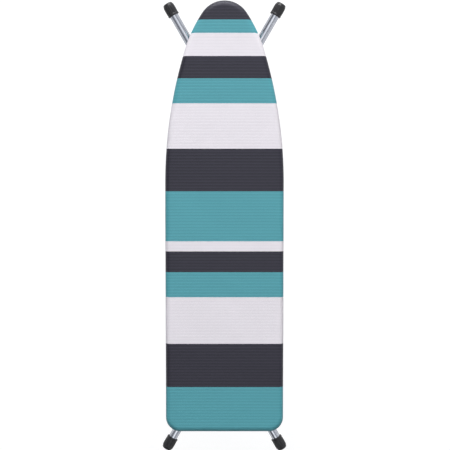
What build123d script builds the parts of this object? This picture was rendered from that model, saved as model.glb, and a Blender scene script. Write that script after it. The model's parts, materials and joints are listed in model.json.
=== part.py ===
"""Folding ironing board, lying folded on its four feet with the padded side up and the nose toward +Y.

The nose leg hinges under the tail and puts its feet beside the nose; the tail leg slides along a
toothed rack and puts its feet past the tail.  All sizes are in millimetres.
"""

import os
from collections import namedtuple
from math import asin, cos, pi, radians, sin, tan

from build123d import *

# Board outline: overall size, then the tangent arcs that draw the nose in.
BOARD_LENGTH = 1100.0
BOARD_WIDTH = 302.0
NOSE_RADIUS = 67.0
NOSE_ANGLE = 56.0
SHOULDER_RADIUS = 350.0
SHOULDER_ANGLE = 73.0
TAIL_CORNER_RADIUS = 37.0
QUARTER_TURN = 90.0

# Layers of the board.
COVER_THICKNESS = 1.2
COVER_EDGE_RADIUS = 10.0
COVER_FOLD = 1.0
HEM_FOLD_WIDTH = 10.0
ELASTIC_WIDTH = 6.0
ELASTIC_THICKNESS = 0.8
PAD_THICKNESS = 8.0
DECK_THICKNESS = 1.0
RIM_SIZE = 16.0
RIM_WALL = 1.0

# Diamond openings of the expanded-steel deck.
MESH_PITCH_X = 36.0
MESH_PITCH_Y = 66.0
MESH_STRAND = 6.0
MESH_MARGIN = 6.0

# Cross braces under the deck, pressed from sheet.
SHEET = 1.5
BRACE_HEIGHT = 10.0
BRACE_WIDTH = 32.0

# Legs: round tube, flared at the foot.
TUBE_DIAMETER = 22.0
TUBE_WALL = 1.0
INNER_LEG_X = 44.0
LEG_SPACER = 7.0
FLARE_ANGLE = 30.0
BEND_RADIUS = 60.0
CROSSBAR_DIAMETER = 14.0
HINGE_SETBACK = 180.0
NOSE_FOOT_INSET = 5.0
NOSE_FOOT_SETBACK = 1.0
TAIL_FOOT_OUTSET = 1.0
TAIL_FOOT_OVERHANG = 57.0

# Rubber feet.
FOOT_DIAMETER = 29.0
FOOT_LENGTH = 35.0
FOOT_SOLE = 6.5
FOOT_PAD = 7.0
FOOT_BEVEL = 5.5
FOOT_COLLAR = 5.0
FOOT_STEP = 0.5
FOOT_RIBS = 14
GROOVE_WIDTH = 2.0
GROOVE_DEPTH = 0.9

# Plastic plugs in the upper tube ends.
PLUG_NECK = 13.0
PLUG_SPIGOT = 20.0
PLUG_RIBS = 6

# Pins and bolts.
BOLT_DIAMETER = 6.0
HEAD_DIAMETER = 12.0
HEAD_HEIGHT = 2.6
NUT_DIAMETER = 11.0
NUT_HEIGHT = 5.0
SPACER_DIAMETER = 18.0
BAR_DIAMETER = 8.0
BUSH_DIAMETER = 16.0
BAR_CAP_DIAMETER = 13.0
BAR_CAP_LENGTH = 4.0

# Height rack: slide bar travel and the teeth that hold it.
OPEN_ANGLE = 62.0
LOWEST_ANGLE = 41.0
NOTCHES = 6
NOTCH_RISE = 4.0
NOTCH_RAMP = 9.0
RACK_WIDTH = 50.0
RACK_LIP = 4.5
RACK_END = 14.0

# Release lever beside the rack.
SHAFT_INSET = 75.0
SHAFT_DIAMETER = 6.0
SHAFT_HEAD_RADIUS = 4.5
SHAFT_DROP = 10.5
HANGER_RADIUS = 6.0
RELEASE_SHEET = 1.2
TRIGGER_LENGTH = 80.0
TRIGGER_REACH = 41.0
GRIP_WIDTH = 27.0
GRIP_HEIGHT = 6.0
GRIP_ROUND = 2.4
SPRING_WIDTH = 12.0
SPRING_SHEET = 0.8

# Clearances.
SKIN_GAP = 0.2
RUNNING = 0.05
SIDE_GAP = 0.3
EAR_GAP = 0.8
SLOT_GAP = 0.3
SLOT_HEADROOM = 1.0
LEG_TO_HEM = 2.5
PRESS_GAP = 0.5

# Heights of the layers, counted from the floor.
TUBE_RADIUS = TUBE_DIAMETER / 2
FOOT_RADIUS = FOOT_DIAMETER / 2
LEG_Z = FOOT_RADIUS
LEG_TOP = LEG_Z + TUBE_RADIUS
HEM_Z = LEG_TOP + LEG_TO_HEM
SKIN_INSET = COVER_THICKNESS + SKIN_GAP
RIM_INSIDE = SKIN_INSET + RIM_SIZE
RIM_Z = HEM_Z + SKIN_INSET
DECK_Z = RIM_Z + RIM_SIZE
PAD_Z = DECK_Z + DECK_THICKNESS
PAD_TOP = PAD_Z + PAD_THICKNESS
COVER_TOP = PAD_TOP + SKIN_INSET
BRACE_Z = DECK_Z - BRACE_HEIGHT

# Stations along the board; the origin is under the middle of the folded outfit.
TAIL_Y = -(BOARD_LENGTH - TAIL_FOOT_OVERHANG) / 2
NOSE_Y = TAIL_Y + BOARD_LENGTH
NOSE_FOOT_Y = NOSE_Y - NOSE_FOOT_SETBACK
TAIL_FOOT_Y = TAIL_Y - TAIL_FOOT_OVERHANG
CROSS_Y = (NOSE_FOOT_Y + TAIL_FOOT_Y) / 2
HINGE_Y = TAIL_Y + HINGE_SETBACK
HALF_SPAN = CROSS_Y - HINGE_Y
SLIDE_Y = CROSS_Y + HALF_SPAN
SLIDE_OPEN_Y = HINGE_Y + 2 * HALF_SPAN * cos(radians(OPEN_ANGLE))
BAR_RADIUS = BAR_DIAMETER / 2
SLOT_START = SLIDE_OPEN_Y - BAR_RADIUS - SLOT_GAP
SLOT_END = SLIDE_Y + BAR_RADIUS + SLOT_GAP
RACK_START_Y = SLOT_START - RACK_END
RACK_END_Y = SLOT_END + RACK_END
OUTER_LEG_X = INNER_LEG_X + TUBE_DIAMETER + LEG_SPACER

# Arc centres of the outline.
HALF_WIDTH = BOARD_WIDTH / 2
NOSE_DIRECTION = Vector(sin(radians(NOSE_ANGLE)), cos(radians(NOSE_ANGLE)))
SHOULDER_DIRECTION = Vector(sin(radians(SHOULDER_ANGLE)), cos(radians(SHOULDER_ANGLE)))
NOSE_CENTRE = Vector(0, NOSE_Y - NOSE_RADIUS)
SHOULDER_CENTRE = NOSE_CENTRE + NOSE_DIRECTION * (NOSE_RADIUS - SHOULDER_RADIUS)
FLANK_RADIUS = (
    HALF_WIDTH - SHOULDER_CENTRE.X - SHOULDER_RADIUS * SHOULDER_DIRECTION.X
) / (1 - SHOULDER_DIRECTION.X)
FLANK_CENTRE = SHOULDER_CENTRE + SHOULDER_DIRECTION * (SHOULDER_RADIUS - FLANK_RADIUS)

SIDES = ((-1, "left"), (1, "right"))


def outline_edges(inset):
    """Board outline drawn in by inset: one half from the tail to the nose, and its mirror image."""
    corner = (HALF_WIDTH - TAIL_CORNER_RADIUS, TAIL_Y + TAIL_CORNER_RADIUS)
    side = HALF_WIDTH - inset
    Line((0, TAIL_Y + inset), (corner[0], TAIL_Y + inset))
    CenterArc(corner, TAIL_CORNER_RADIUS - inset, -QUARTER_TURN, QUARTER_TURN)
    Line((side, corner[1]), (side, FLANK_CENTRE.Y))
    for centre, radius, start, end in (
        (FLANK_CENTRE, FLANK_RADIUS, QUARTER_TURN, SHOULDER_ANGLE),
        (SHOULDER_CENTRE, SHOULDER_RADIUS, SHOULDER_ANGLE, NOSE_ANGLE),
        (NOSE_CENTRE, NOSE_RADIUS, NOSE_ANGLE, 0),
    ):
        CenterArc((centre.X, centre.Y), radius - inset, QUARTER_TURN - start, start - end)
    mirror(about=Plane.YZ)


def outline(inset, mode=Mode.ADD):
    """Board outline drawn in by inset, as a face of the current sketch."""
    with BuildLine() as edge:
        outline_edges(inset)
    make_face(edge.edges(), mode=mode)


def outline_band(outer, inner, bottom, height, mode=Mode.ADD):
    """Flat band between two insets of the outline."""
    with BuildSketch(Plane.XY.offset(bottom)) as band:
        outline(outer)
        outline(inner, Mode.SUBTRACT)
    extrude(band.sketch, amount=height, mode=mode)


def cross_cylinder(y, radius, x_from, x_to, mode=Mode.ADD, z=LEG_Z):
    """Round bar along X between two stations, at height z."""
    with BuildSketch(Plane.YZ.offset(x_from)) as end:
        with Locations((y, z)):
            Circle(radius)
    extrude(end.sketch, amount=x_to - x_from, mode=mode)


os.makedirs("parts", exist_ok=True)


def save(piece, name):
    piece.part.label = name
    export_step(piece.part, f"parts/{name}.step")


# Cover: a cloth skin over the pad, turned under the rim and closed by a folded hem.
EDGE_CHAMFER = COVER_EDGE_RADIUS - 2 * COVER_THICKNESS
FOLD_INSET = RIM_INSIDE + SIDE_GAP
HEM_INSET = FOLD_INSET + HEM_FOLD_WIDTH
FOLD_Z = HEM_Z + COVER_THICKNESS
FOLD_ROOM = ELASTIC_THICKNESS + 2 * SKIN_GAP
FOLD_END = HEM_INSET - COVER_THICKNESS

with BuildPart() as cover_hollow:
    with BuildSketch(Plane.XY.offset(FOLD_Z)):
        outline(COVER_THICKNESS)
    extrude(amount=PAD_TOP + SKIN_GAP - FOLD_Z)
    chamfer(faces().sort_by(Axis.Z)[-1].edges(), EDGE_CHAMFER)

with BuildPart() as cover:
    with BuildSketch(Plane.XY.offset(HEM_Z)):
        outline(0)
    extrude(amount=COVER_TOP - HEM_Z)
    fillet(faces().sort_by(Axis.Z)[-1].edges(), COVER_EDGE_RADIUS)
    chamfer(faces().sort_by(Axis.Z)[0].edges(), COVER_FOLD)
    add(cover_hollow.part, mode=Mode.SUBTRACT)
    with BuildSketch(Plane.XY.offset(HEM_Z)):
        outline(HEM_INSET)
    extrude(amount=COVER_THICKNESS, mode=Mode.SUBTRACT)
    outline_band(FOLD_INSET, HEM_INSET, FOLD_Z, FOLD_ROOM + COVER_THICKNESS)
    outline_band(FOLD_INSET, FOLD_END, FOLD_Z, FOLD_ROOM, Mode.SUBTRACT)
save(cover, "cover")

with BuildPart() as hem_elastic:
    tape_edge = FOLD_END - SKIN_GAP
    outline_band(tape_edge - ELASTIC_WIDTH, tape_edge, FOLD_Z + SKIN_GAP, ELASTIC_THICKNESS)
save(hem_elastic, "hem_elastic")

# Pad: a felt layer with a bevelled edge, lying on the deck.
with BuildPart() as pad:
    with BuildSketch(Plane.XY.offset(PAD_Z)):
        outline(SKIN_INSET)
    extrude(amount=PAD_THICKNESS)
    chamfer(faces().sort_by(Axis.Z)[-1].edges(), EDGE_CHAMFER)
save(pad, "pad")

# Deck: expanded steel with staggered diamond openings, kept inside the rim.
with BuildSketch() as vent_field:
    outline(RIM_INSIDE + MESH_MARGIN)

VENT_HALF_X = (MESH_PITCH_X - MESH_STRAND) / 2
VENT_HALF_Y = VENT_HALF_X * MESH_PITCH_Y / MESH_PITCH_X
VENT_CORNERS = (
    Vector(VENT_HALF_X, 0),
    Vector(0, VENT_HALF_Y),
    Vector(-VENT_HALF_X, 0),
    Vector(0, -VENT_HALF_Y),
)


def vent_spots():
    """Centres of the diamonds that fit whole inside the rim."""
    field = vent_field.sketch.faces()[0]
    rows = int(BOARD_LENGTH / MESH_PITCH_Y)
    columns = int(BOARD_WIDTH / MESH_PITCH_X)
    middle = (TAIL_Y + NOSE_Y) / 2
    for row in range(-rows, rows + 1):
        for column in range(-columns, columns + 1):
            shift = MESH_PITCH_X / 2 * (row % 2)
            spot = Vector(column * MESH_PITCH_X + shift, middle + row * MESH_PITCH_Y / 2)
            if all(field.is_inside(spot + corner) for corner in VENT_CORNERS):
                yield spot


with BuildPart() as deck_mesh:
    with BuildSketch(Plane.XY.offset(DECK_Z)):
        outline(SKIN_INSET)
        with Locations(*vent_spots()):
            Polygon(*VENT_CORNERS, mode=Mode.SUBTRACT)
    extrude(amount=DECK_THICKNESS)
save(deck_mesh, "deck_mesh")

# Rim: a square tube bent round the outline.
with BuildPart() as rim_tube:
    outline_band(SKIN_INSET, RIM_INSIDE, RIM_Z, RIM_SIZE)
    outline_band(
        SKIN_INSET + RIM_WALL,
        RIM_INSIDE - RIM_WALL,
        RIM_Z + RIM_WALL,
        RIM_SIZE - 2 * RIM_WALL,
        Mode.SUBTRACT,
    )
save(rim_tube, "rim_tube")

# Cross braces: sheet channels from side to side, over the hinge and at both ends of the rack.
BRACE_STATIONS = {
    "hinge_brace": HINGE_Y,
    "middle_brace": RACK_START_Y - BRACE_WIDTH / 2,
    "front_brace": RACK_END_Y + BRACE_WIDTH / 2,
}

for name, station in BRACE_STATIONS.items():
    with BuildPart() as brace:
        with BuildSketch(Plane.XY.offset(BRACE_Z)):
            outline(RIM_INSIDE)
            with Locations((0, station)):
                Rectangle(BOARD_WIDTH, BRACE_WIDTH, mode=Mode.INTERSECT)
        extrude(amount=BRACE_HEIGHT)
        with BuildSketch(Plane.YZ):
            with Locations((station, BRACE_Z + SHEET + BRACE_HEIGHT / 2)):
                Rectangle(BRACE_WIDTH - 2 * SHEET, BRACE_HEIGHT)
        extrude(amount=BOARD_WIDTH, both=True, mode=Mode.SUBTRACT)
    save(brace, name)

# Height rack: an inverted channel whose slots carry the slide bar under a row of hooked notches.
RACK_BOTTOM = LEG_Z - BAR_RADIUS - SLOT_GAP - RACK_LIP
RACK_LENGTH = RACK_END_Y - RACK_START_Y
RACK_MIDDLE = (RACK_START_Y + RACK_END_Y) / 2
SLOT_FLOOR = LEG_Z - BAR_RADIUS - SLOT_GAP
SLOT_TIPS = LEG_Z + BAR_RADIUS + SLOT_HEADROOM
NOTCH_Z = LEG_Z + NOTCH_RISE
NOTCH_RADIUS = BAR_RADIUS + SLOT_GAP


def notch_stations():
    """Slide bar stations at working heights an equal step apart."""
    low = sin(radians(LOWEST_ANGLE))
    high = sin(radians(OPEN_ANGLE))
    for step in range(NOTCHES):
        angle = asin(low + (high - low) * step / (NOTCHES - 1))
        yield HINGE_Y + 2 * HALF_SPAN * cos(angle)


with BuildPart() as height_rack:
    with Locations((0, RACK_MIDDLE, (RACK_BOTTOM + DECK_Z) / 2)):
        Box(RACK_WIDTH, RACK_LENGTH, DECK_Z - RACK_BOTTOM)
    with Locations((0, RACK_MIDDLE, (RACK_BOTTOM + DECK_Z) / 2 - SHEET)):
        Box(RACK_WIDTH - 2 * SHEET, RACK_LENGTH, DECK_Z - RACK_BOTTOM, mode=Mode.SUBTRACT)
    with BuildSketch(Plane.YZ):
        with Locations(((SLOT_START + SLOT_END) / 2, (SLOT_FLOOR + SLOT_TIPS) / 2)):
            Rectangle(SLOT_END - SLOT_START, SLOT_TIPS - SLOT_FLOOR)
        for notch in notch_stations():
            with Locations((notch, NOTCH_Z)):
                Circle(NOTCH_RADIUS)
            with BuildLine():
                Polyline(
                    (notch - NOTCH_RADIUS, NOTCH_Z),
                    (notch + NOTCH_RADIUS, NOTCH_Z),
                    (notch + NOTCH_RADIUS, LEG_Z),
                    (max(notch - NOTCH_RADIUS - NOTCH_RAMP, SLOT_START), LEG_Z),
                    close=True,
                )
            make_face()
    extrude(amount=RACK_WIDTH, both=True, mode=Mode.SUBTRACT)
save(height_rack, "height_rack")

# Legs.  Each is a pair of flared tubes with a crossbar, plugs at the top and rubber feet.
FLARE = radians(FLARE_ANGLE)
RIB_RADIUS = FOOT_RADIUS - FOOT_STEP
FOOT_PAD_RADIUS = RIB_RADIUS - GROOVE_DEPTH - FOOT_STEP
FOOT_TIP = (FOOT_PAD_RADIUS - FOOT_BEVEL) / cos(pi / FOOT_RIBS) * sin(FLARE)
NOSE_FOOT_X = HALF_WIDTH - NOSE_FOOT_INSET
TAIL_FOOT_X = HALF_WIDTH + TAIL_FOOT_OUTSET

Leg = namedtuple("Leg", "name x pivot_y foot_x foot_y toward pin_radius")
LEGS = (
    Leg("nose", OUTER_LEG_X, HINGE_Y, NOSE_FOOT_X, NOSE_FOOT_Y - FOOT_TIP, 1, BOLT_DIAMETER / 2),
    Leg("tail", INNER_LEG_X, SLIDE_Y, TAIL_FOOT_X, TAIL_FOOT_Y + FOOT_TIP, -1, BAR_RADIUS),
)


def corner_y(leg):
    """Station where the straight tube meets the line of its flared foot."""
    return leg.foot_y - leg.toward * (leg.foot_x - leg.x) / tan(FLARE)


def crossbar_y(leg):
    """Crossbar station, just before the bend that starts the flare."""
    return corner_y(leg) - leg.toward * (BEND_RADIUS * tan(FLARE / 2) + CROSSBAR_DIAMETER)


HALF_RIB = 180 / FOOT_RIBS


def foot_polygon(radius):
    """Section of a foot with one flat for each rib and a flat downward."""
    RegularPolygon(radius, FOOT_RIBS, major_radius=False, rotation=HALF_RIB)


for leg in LEGS:
    for side, hand in SIDES:
        flare = Vector(side * sin(FLARE), leg.toward * cos(FLARE), 0)
        foot = Vector(side * leg.foot_x, leg.foot_y, LEG_Z)
        top = Vector(side * leg.x, leg.pivot_y, LEG_Z)
        along = Vector(0, leg.toward, 0)

        with BuildPart() as tube:
            with BuildLine() as tube_line:
                FilletPolyline(
                    top + along * PLUG_NECK,
                    Vector(side * leg.x, corner_y(leg), LEG_Z),
                    foot - flare * FOOT_SOLE,
                    radius=BEND_RADIUS,
                )
            with BuildSketch(Plane(top + along * PLUG_NECK, z_dir=along)) as tube_section:
                Circle(TUBE_RADIUS)
                Circle(TUBE_RADIUS - TUBE_WALL, mode=Mode.SUBTRACT)
            sweep(sections=tube_section.sketch, path=tube_line.wires()[0])
            cross_cylinder(
                CROSS_Y, BOLT_DIAMETER / 2 + RUNNING, -BOARD_WIDTH, BOARD_WIDTH, Mode.SUBTRACT
            )
        save(tube, f"{leg.name}_leg_tube_{hand}")

        with BuildPart() as plug:
            with BuildSketch(Plane.YZ.offset(side * leg.x - TUBE_RADIUS)):
                with Locations((leg.pivot_y, LEG_Z)):
                    Circle(TUBE_RADIUS)
                with Locations((leg.pivot_y + leg.toward * PLUG_NECK / 2, LEG_Z)):
                    Rectangle(PLUG_NECK, TUBE_DIAMETER)
                with Locations((leg.pivot_y, LEG_Z)):
                    Circle(leg.pin_radius + RUNNING, mode=Mode.SUBTRACT)
            extrude(amount=TUBE_DIAMETER)
            with BuildSketch(Plane(top + along * PLUG_NECK, z_dir=along)):
                RegularPolygon(TUBE_RADIUS - TUBE_WALL - RUNNING, PLUG_RIBS)
            extrude(amount=PLUG_SPIGOT)
        save(plug, f"{leg.name}_leg_plug_{hand}")

        with BuildPart() as cap:
            back = Plane(foot - flare * FOOT_LENGTH, x_dir=(0, 0, 1), z_dir=flare)
            with BuildSketch(back):
                Circle(FOOT_RADIUS)
            extrude(amount=FOOT_COLLAR)
            with BuildSketch(back.offset(FOOT_COLLAR)):
                foot_polygon(RIB_RADIUS)
                with PolarLocations(RIB_RADIUS, FOOT_RIBS, start_angle=HALF_RIB):
                    Rectangle(2 * GROOVE_DEPTH, GROOVE_WIDTH, mode=Mode.SUBTRACT)
            extrude(amount=FOOT_LENGTH - FOOT_COLLAR - FOOT_PAD)
            with BuildSketch(back.offset(FOOT_LENGTH - FOOT_PAD)):
                foot_polygon(FOOT_PAD_RADIUS)
            extrude(amount=FOOT_PAD)
            chamfer(faces().sort_by(Axis(foot, flare))[-1].edges(), FOOT_BEVEL)
            with BuildSketch(back):
                Circle(TUBE_RADIUS + RUNNING)
            extrude(amount=FOOT_LENGTH - FOOT_SOLE, mode=Mode.SUBTRACT)
        save(cap, f"{leg.name}_foot_{hand}")

    with BuildPart() as crossbar:
        bar_y = crossbar_y(leg)
        cross_cylinder(bar_y, CROSSBAR_DIAMETER / 2, -leg.x, leg.x)
        cross_cylinder(bar_y, CROSSBAR_DIAMETER / 2 - TUBE_WALL, -leg.x, leg.x, Mode.SUBTRACT)
        for side, hand in SIDES:
            with BuildSketch(Plane.XZ.offset(-bar_y)):
                with Locations((side * leg.x, LEG_Z)):
                    Circle(TUBE_RADIUS)
            extrude(amount=CROSSBAR_DIAMETER, both=True, mode=Mode.SUBTRACT)
    save(crossbar, f"{leg.name}_leg_crossbar")

# Hinge brackets: sheet clevises under the hinge brace, one over each upper end of the nose leg.
EAR_OFFSET = TUBE_RADIUS + EAR_GAP
EAR_RADIUS = TUBE_RADIUS - SHEET

for side, hand in SIDES:
    inner_face = side * OUTER_LEG_X - EAR_OFFSET
    with BuildPart() as bracket:
        for ear in (inner_face - SHEET, inner_face + 2 * EAR_OFFSET):
            with BuildSketch(Plane.YZ.offset(ear)):
                with Locations((HINGE_Y, LEG_Z)):
                    Circle(EAR_RADIUS)
                with Locations((HINGE_Y, (LEG_Z + BRACE_Z) / 2)):
                    Rectangle(2 * EAR_RADIUS, BRACE_Z - LEG_Z)
                with Locations((HINGE_Y, LEG_Z)):
                    Circle(BOLT_DIAMETER / 2 + RUNNING, mode=Mode.SUBTRACT)
            extrude(amount=SHEET)
        with Locations((side * OUTER_LEG_X, HINGE_Y, BRACE_Z - SHEET / 2)):
            Box(2 * EAR_OFFSET + 2 * SHEET, 2 * EAR_RADIUS, SHEET)
    save(bracket, f"hinge_bracket_{hand}")


def pin_set(y, inner_x, outer_x):
    """Pair of round pins along X with a thin head at the inner end, one on each side."""
    for side, hand in SIDES:
        cross_cylinder(y, BOLT_DIAMETER / 2, side * inner_x, side * (outer_x + NUT_HEIGHT))
        cross_cylinder(y, HEAD_DIAMETER / 2, side * (inner_x - HEAD_HEIGHT), side * inner_x)


def nut_set(y, outer_x):
    """Pair of hexagonal nuts on the outer ends of such pins."""
    for side, hand in SIDES:
        with BuildSketch(Plane.YZ.offset(side * outer_x)) as nut:
            with Locations((y, LEG_Z)):
                RegularPolygon(NUT_DIAMETER / 2, 6)
                Circle(BOLT_DIAMETER / 2 + RUNNING, mode=Mode.SUBTRACT)
        extrude(nut.sketch, amount=side * NUT_HEIGHT)


HINGE_INNER_X = OUTER_LEG_X - EAR_OFFSET - SHEET
HINGE_OUTER_X = OUTER_LEG_X + EAR_OFFSET + SHEET
with BuildPart() as hinge_pins:
    pin_set(HINGE_Y, HINGE_INNER_X, HINGE_OUTER_X)
save(hinge_pins, "hinge_pins")

with BuildPart() as hinge_nuts:
    nut_set(HINGE_Y, HINGE_OUTER_X)
save(hinge_nuts, "hinge_nuts")

# Scissor pivot: a pin through both tubes of each side, with a nylon spacer between them.
CROSS_INNER_X = INNER_LEG_X - TUBE_RADIUS - SIDE_GAP
CROSS_OUTER_X = OUTER_LEG_X + TUBE_RADIUS
with BuildPart() as cross_pins:
    pin_set(CROSS_Y, CROSS_INNER_X, CROSS_OUTER_X)
save(cross_pins, "cross_pins")

with BuildPart() as cross_nuts:
    nut_set(CROSS_Y, CROSS_OUTER_X)
save(cross_nuts, "cross_nuts")

with BuildPart() as cross_spacers:
    for side, hand in SIDES:
        near = side * (INNER_LEG_X + TUBE_RADIUS + SIDE_GAP)
        far = side * (OUTER_LEG_X - TUBE_RADIUS)
        cross_cylinder(CROSS_Y, SPACER_DIAMETER / 2, near, far)
        cross_cylinder(CROSS_Y, BOLT_DIAMETER / 2 + RUNNING, near, far, Mode.SUBTRACT)
save(cross_spacers, "cross_spacers")

# Slide bar: runs in the rack slots, with bushes beside the rack and caps outside the tail leg.
BAR_CAP_X = INNER_LEG_X + TUBE_RADIUS + SIDE_GAP
with BuildPart() as slide_bar:
    bar_end = BAR_CAP_X + BAR_CAP_LENGTH
    cross_cylinder(SLIDE_Y, BAR_RADIUS, -bar_end, bar_end)
save(slide_bar, "slide_bar")


def bar_rings(inner_x, outer_x, radius):
    """Pair of rings on the slide bar, one on each side."""
    for side, hand in SIDES:
        cross_cylinder(SLIDE_Y, radius, side * inner_x, side * outer_x)
        cross_cylinder(
            SLIDE_Y, BAR_RADIUS + RUNNING, side * inner_x, side * outer_x, Mode.SUBTRACT
        )


with BuildPart() as guide_bushes:
    bar_rings(RACK_WIDTH / 2 + SIDE_GAP, INNER_LEG_X - TUBE_RADIUS - SIDE_GAP, BUSH_DIAMETER / 2)
save(guide_bushes, "guide_bushes")

with BuildPart() as bar_caps:
    bar_rings(BAR_CAP_X, BAR_CAP_X + BAR_CAP_LENGTH, BAR_CAP_DIAMETER / 2)
save(bar_caps, "bar_caps")

# Release lever: a shaft along the rack with a lip over the tail leg and a trigger at the board's side.
SHAFT_RADIUS = SHAFT_DIAMETER / 2
SHAFT_X = HALF_WIDTH - SHAFT_INSET
SHAFT_Z = DECK_Z - SHAFT_DROP
HANGER_START_Y = RACK_START_Y + 2 * SHEET + SIDE_GAP
LIP_START_Y = HANGER_START_Y + SHEET + SIDE_GAP
LIP_END_Y = max(notch_stations()) + BUSH_DIAMETER / 2
HANGER_END_Y = LIP_END_Y + SIDE_GAP
TRIGGER_Y = (LIP_START_Y + LIP_END_Y) / 2

with BuildPart() as shaft_hangers:
    for station in (HANGER_START_Y, HANGER_END_Y):
        with BuildSketch(Plane.XZ.offset(-station)):
            with Locations((SHAFT_X, SHAFT_Z)):
                Circle(HANGER_RADIUS)
            with Locations((SHAFT_X, (SHAFT_Z + DECK_Z) / 2)):
                Rectangle(2 * HANGER_RADIUS, DECK_Z - SHAFT_Z)
            with Locations((SHAFT_X, SHAFT_Z)):
                Circle(SHAFT_RADIUS + RUNNING, mode=Mode.SUBTRACT)
        extrude(amount=-SHEET)
save(shaft_hangers, "shaft_hangers")

SHAFT_SPANS = (
    (HANGER_START_Y - SHEET, HANGER_END_Y + 2 * SHEET, SHAFT_RADIUS),
    (HANGER_START_Y - SIDE_GAP - SHEET, HANGER_START_Y - SIDE_GAP, SHAFT_HEAD_RADIUS),
    (HANGER_END_Y + SHEET + SIDE_GAP, HANGER_END_Y + 2 * SHEET + SIDE_GAP, SHAFT_HEAD_RADIUS),
)
with BuildPart() as release_shaft:
    for start, end, radius in SHAFT_SPANS:
        with BuildSketch(Plane.XZ.offset(-start)):
            with Locations((SHAFT_X, SHAFT_Z)):
                Circle(radius)
        extrude(amount=start - end)
save(release_shaft, "release_shaft")

LIP_Z = LEG_TOP + NOTCH_RISE + PRESS_GAP
PLATE_Z = SHAFT_Z + SHAFT_RADIUS
with BuildPart() as press_plate:
    with BuildSketch(Plane.XZ.offset(-LIP_START_Y)):
        with BuildLine():
            Polyline(
                (SHAFT_X + SHAFT_RADIUS, PLATE_Z),
                (SHAFT_X + SHAFT_RADIUS, PLATE_Z + RELEASE_SHEET),
                (INNER_LEG_X - RELEASE_SHEET / 2, PLATE_Z + RELEASE_SHEET),
                (INNER_LEG_X - RELEASE_SHEET / 2, LIP_Z),
                (INNER_LEG_X + RELEASE_SHEET / 2, LIP_Z),
                (INNER_LEG_X + RELEASE_SHEET / 2, PLATE_Z),
                close=True,
            )
        make_face()
    extrude(amount=-(LIP_END_Y - LIP_START_Y))
save(press_plate, "press_plate")

TRIGGER_START_X = SHAFT_X + SHAFT_RADIUS
TRIGGER_END_X = SHAFT_X + TRIGGER_REACH
with BuildPart() as trigger_plate:
    with Locations(((TRIGGER_START_X + TRIGGER_END_X) / 2, TRIGGER_Y, SHAFT_Z)):
        Box(TRIGGER_END_X - TRIGGER_START_X, TRIGGER_LENGTH, RELEASE_SHEET)
save(trigger_plate, "trigger_plate")

GRIP_END_X = TRIGGER_END_X + GRIP_ROUND
GRIP_LENGTH = TRIGGER_LENGTH + 2 * GRIP_ROUND
with BuildPart() as trigger_grip:
    with BuildSketch(Plane.XZ.offset(-TRIGGER_Y)):
        with Locations((GRIP_END_X - GRIP_WIDTH / 2, SHAFT_Z)):
            RectangleRounded(GRIP_WIDTH, GRIP_HEIGHT, GRIP_ROUND)
    extrude(amount=GRIP_LENGTH / 2, both=True)
    with Locations((TRIGGER_END_X - GRIP_WIDTH / 2, TRIGGER_Y, SHAFT_Z)):
        Box(
            GRIP_WIDTH + 2 * RUNNING,
            TRIGGER_LENGTH + 2 * RUNNING,
            RELEASE_SHEET + 2 * RUNNING,
            mode=Mode.SUBTRACT,
        )
save(trigger_grip, "trigger_grip")

# Return spring: a bent leaf under the deck that holds the trigger down.
LEAF_TIP_Z = SHAFT_Z + RELEASE_SHEET / 2 + RUNNING
LEAF_START_X = GRIP_END_X - GRIP_WIDTH - SIDE_GAP
with BuildPart() as return_spring:
    with BuildSketch(Plane.XZ.offset(-TRIGGER_Y)):
        with BuildLine():
            Polyline(
                (SHAFT_X + TRIGGER_REACH, DECK_Z),
                (LEAF_START_X, DECK_Z),
                (TRIGGER_START_X + SPRING_WIDTH / 4, LEAF_TIP_Z),
                (TRIGGER_START_X + SPRING_WIDTH / 2, LEAF_TIP_Z),
                (LEAF_START_X + SPRING_SHEET, DECK_Z - SPRING_SHEET),
                (SHAFT_X + TRIGGER_REACH, DECK_Z - SPRING_SHEET),
                close=True,
            )
        make_face()
    extrude(amount=SPRING_WIDTH / 2, both=True)
save(return_spring, "return_spring")
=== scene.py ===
import json
import math
import random

import bpy
import numpy as np
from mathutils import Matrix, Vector, geometry, noise


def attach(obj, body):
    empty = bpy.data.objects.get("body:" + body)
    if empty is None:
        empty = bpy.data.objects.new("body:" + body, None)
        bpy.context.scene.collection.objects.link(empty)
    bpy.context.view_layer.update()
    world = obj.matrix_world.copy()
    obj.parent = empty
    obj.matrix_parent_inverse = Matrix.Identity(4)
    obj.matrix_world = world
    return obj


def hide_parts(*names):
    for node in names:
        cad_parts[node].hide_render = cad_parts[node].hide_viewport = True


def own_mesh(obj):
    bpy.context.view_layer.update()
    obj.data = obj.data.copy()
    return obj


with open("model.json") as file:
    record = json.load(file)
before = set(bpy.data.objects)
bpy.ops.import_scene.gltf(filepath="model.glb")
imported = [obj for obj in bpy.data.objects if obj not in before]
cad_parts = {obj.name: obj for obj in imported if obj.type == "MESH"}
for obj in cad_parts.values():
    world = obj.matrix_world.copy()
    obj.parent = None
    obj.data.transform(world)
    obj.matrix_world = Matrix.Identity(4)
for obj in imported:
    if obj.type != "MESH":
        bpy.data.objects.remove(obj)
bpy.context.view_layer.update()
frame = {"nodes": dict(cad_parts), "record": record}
nodes = frame["nodes"]
random.seed(7)

# Sizes of the board, in metres.
HALF_WIDTH = 0.151
TAIL_Y = -0.5215
NOSE_Y = 0.5785
CORNER_RADIUS = 0.037
NOSE_RADIUS = 0.067
NOSE_TURN = math.radians(56)
SHOULDER_RADIUS = 0.350
SHOULDER_TURN = math.radians(73)
HEM_Z = 0.0280
COVER_TOP = 0.0558
EDGE_RADIUS = 0.012
HEM_FOLD = 0.0040
HEM_INSET = 0.0277
CASING_START = 0.0180
CLOTH = 0.0007
DECK_Z = 0.0454
DECK_SHEET = 0.0010
PAD_TOP = 0.0544
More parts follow.
